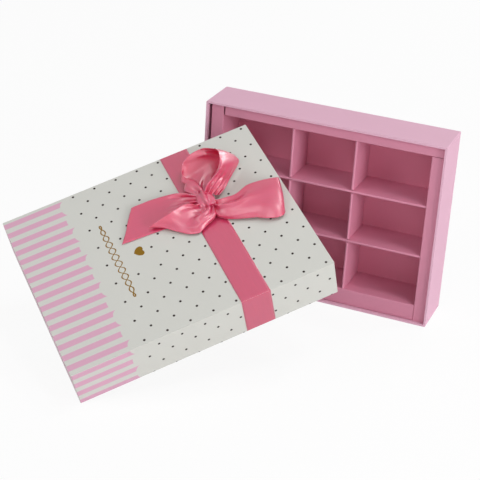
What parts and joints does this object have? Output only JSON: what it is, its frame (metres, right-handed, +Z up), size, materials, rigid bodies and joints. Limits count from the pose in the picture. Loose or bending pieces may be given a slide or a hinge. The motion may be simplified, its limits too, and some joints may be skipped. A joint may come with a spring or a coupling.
{
  "type": "chocolate box",
  "caption": "Rigid two-piece gift box for chocolates: pink base with a card grid of cells, and a lift-off patterned lid with a satin ribbon band and bow, shown leaning open.",
  "frame": {"origin": "middle of the long side wall that the base stands on, on the ground", "axes": "+Z up, -Y out of the base's mouth towards the leaning lid, X along the base's long walls"},
  "size_m": [0.3326, 0.3141, 0.1705],
  "materials": {
    "greyboard": "plain grey board with a faint fibre fleck",
    "lid_paper": "white cover paper printed with pink stripes and small dark dots",
    "base_paper": "pink cover paper, matte",
    "lining_pink": "pink lining paper, matte",
    "lining_white": "white lining paper, matte",
    "stay_paper": "buff paper tape",
    "insert_card": "pink card, soft sheen on the folds",
    "ribbon": "rose satin"
  },
  "bodies": {
    "base": {"base_board": "greyboard", "base_corner_stay_1": "stay_paper", "base_corner_stay_2": "stay_paper", "base_corner_stay_3": "stay_paper", "base_corner_stay_4": "stay_paper", "base_wrap": "base_paper", "base_lining": "lining_pink"},
    "insert": {"insert_rail_left": "insert_card", "insert_rail_right": "insert_card", "insert_rail_top": "insert_card", "insert_rail_bottom": "insert_card", "divider_long_1": "insert_card", "divider_long_2": "insert_card", "divider_short_1": "insert_card", "divider_short_2": "insert_card"},
    "lid": {"lid_board": "greyboard", "lid_corner_stay_1": "stay_paper", "lid_corner_stay_2": "stay_paper", "lid_corner_stay_3": "stay_paper", "lid_corner_stay_4": "stay_paper", "lid_wrap": "lid_paper", "lid_lining": "lining_white", "ribbon_band": "ribbon", "bow_tail": "ribbon", "bow_left_loop": "ribbon", "bow_right_loop": "ribbon", "bow_top_loop": "ribbon", "bow_knot": "ribbon"}
  },
  "joints": [
    {"name": "insert_slide", "type": "slide", "parent": "base", "child": "insert", "axis": [0, -1, 0], "range_m": [0, 0.045]},
    {"name": "lid_lift", "type": "slide", "parent": "insert", "child": "lid", "axis": [0, -0.4552, 0.8904], "range_m": [0, 0.12]}
  ]
}
